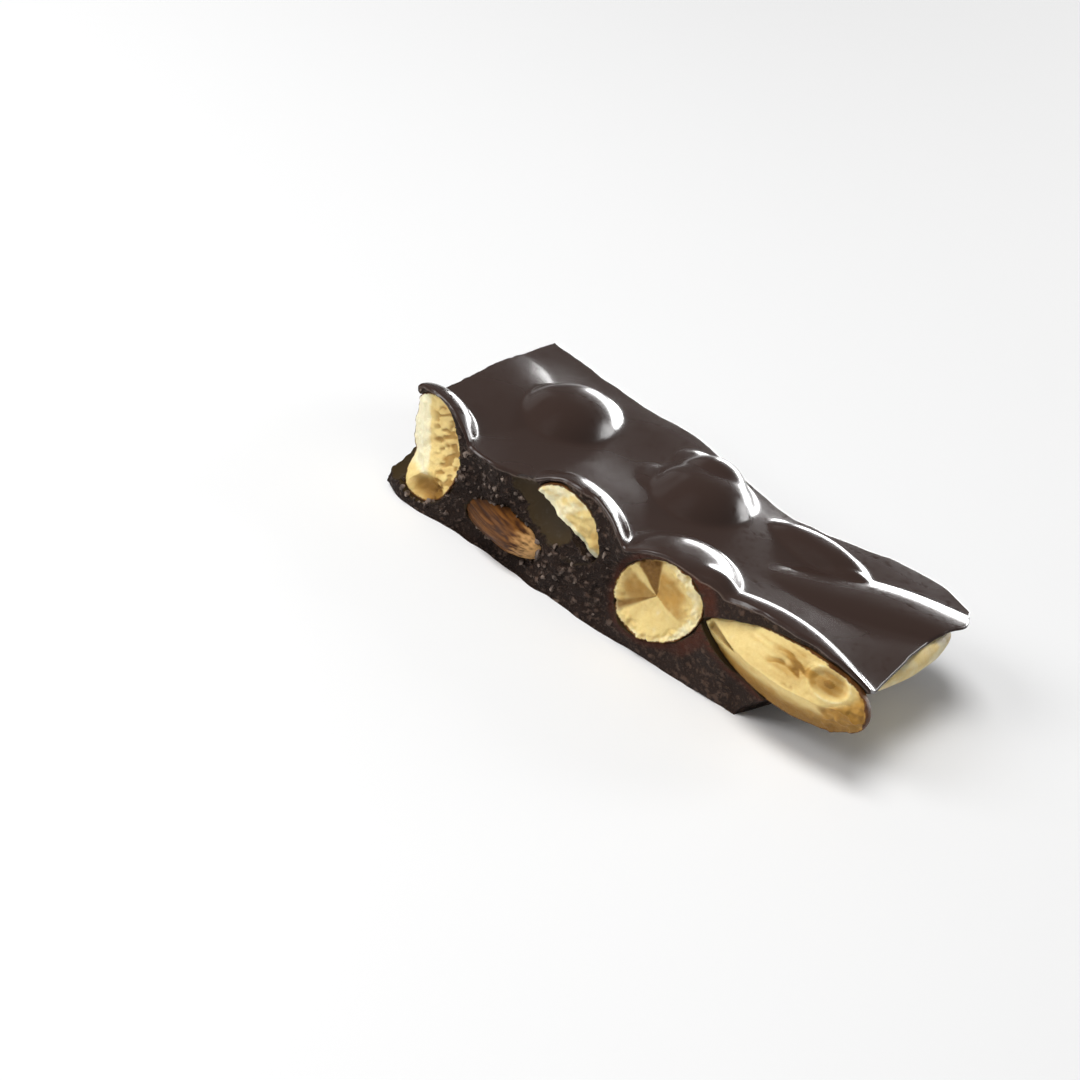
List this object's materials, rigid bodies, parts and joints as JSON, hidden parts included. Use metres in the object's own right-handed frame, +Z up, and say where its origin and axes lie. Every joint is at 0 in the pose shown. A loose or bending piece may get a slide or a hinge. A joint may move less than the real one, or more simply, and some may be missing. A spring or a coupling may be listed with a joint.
{
  "type": "chocolate almond bark piece",
  "caption": "Broken piece of dark chocolate bark with a flat underside, a domed glossy top and whole and broken almonds at its rough edges.",
  "frame": {"origin": "middle of the bounding box on the flat underside that the piece lies on", "axes": "+X along the piece towards the undercut right end, +Y away from the broken front with the almonds, +Z up"},
  "size_m": [0.0662, 0.0348, 0.0147],
  "materials": {
    "dark_chocolate": "glossy poured top, matt crumbly broken walls",
    "almond_flesh": "matt roasted nut flesh",
    "almond_skin": "fibrous brown nut skin"
  },
  "bodies": {
    "root": {"chocolate": "dark_chocolate", "almond_left_end": "almond_flesh", "almond_in_skin": "almond_skin", "almond_half": "almond_flesh", "almond_round": "almond_flesh", "almond_split": "almond_flesh", "almond_right_end": "almond_flesh"}
  },
  "joints": []
}
